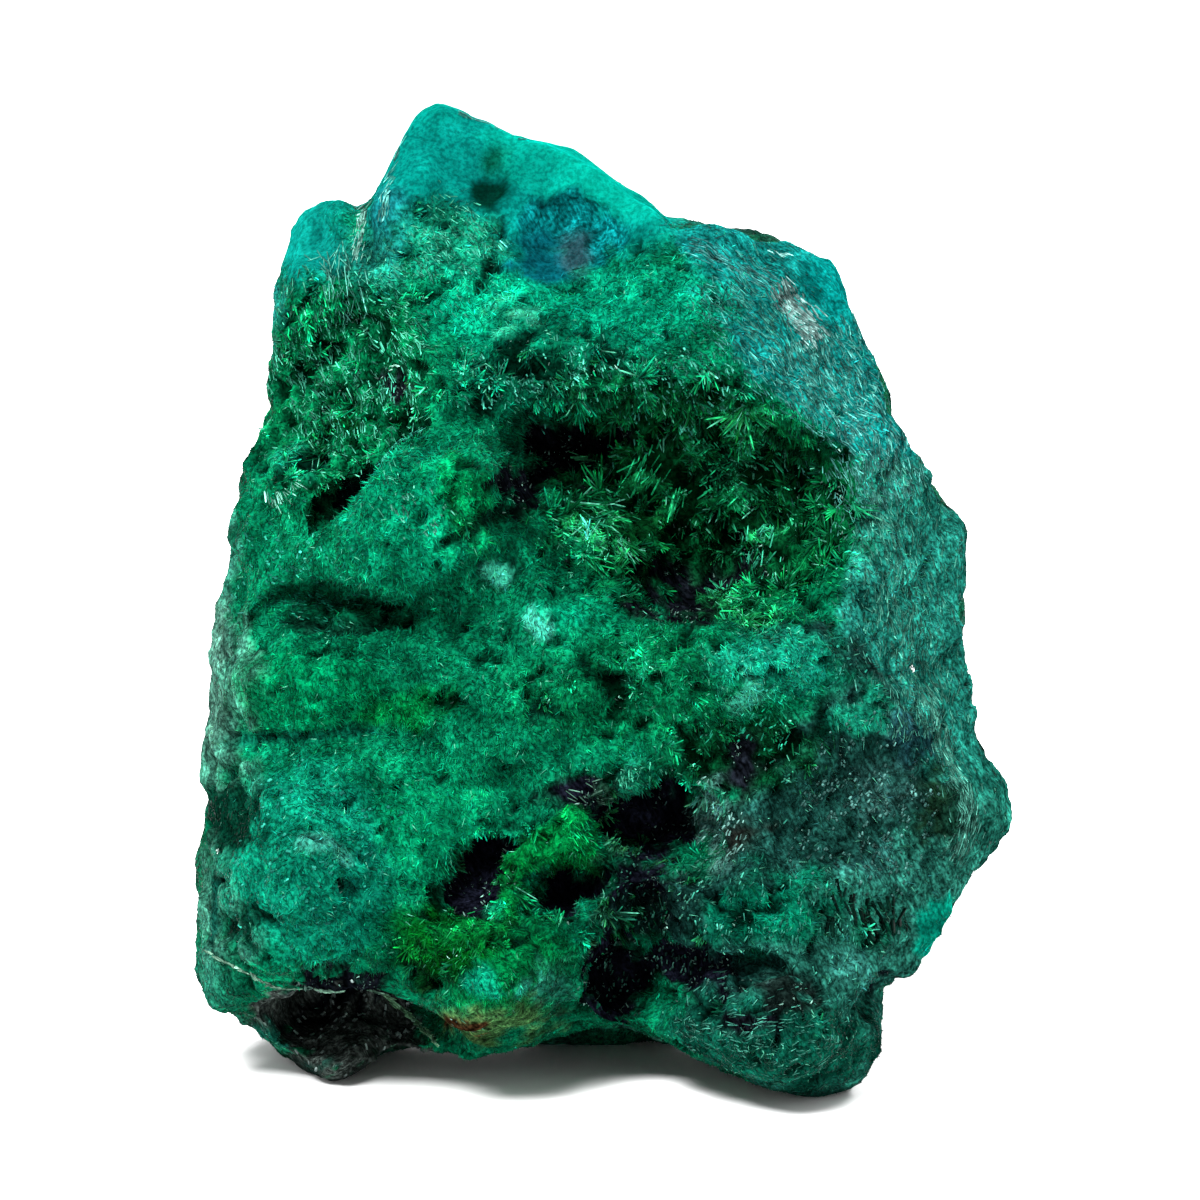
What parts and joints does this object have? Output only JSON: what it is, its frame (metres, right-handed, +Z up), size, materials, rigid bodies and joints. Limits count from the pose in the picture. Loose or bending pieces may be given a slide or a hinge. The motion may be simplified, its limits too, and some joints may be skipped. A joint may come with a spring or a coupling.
{
  "type": "dioptase specimen",
  "caption": "Broken hand specimen of dioptase: a teal to bottle-green stone with dark hollows lined with fine needle crystals, standing upright.",
  "frame": {"origin": "middle of the box round the specimen, on the floor it stands on", "axes": "+Z up, the face with the hollows towards -Y, +X to the viewer's right"},
  "size_m": [0.0368, 0.0272, 0.0435],
  "materials": {
    "host_rock": "matt with a fine crystalline sparkle",
    "main_vug_crystals": "glassy needles",
    "upper_left_crystals": "glassy needles"
  },
  "bodies": {
    "root": {"host_rock": "host_rock", "main_vug_crystals": "main_vug_crystals", "upper_left_crystals": "upper_left_crystals"}
  },
  "joints": []
}
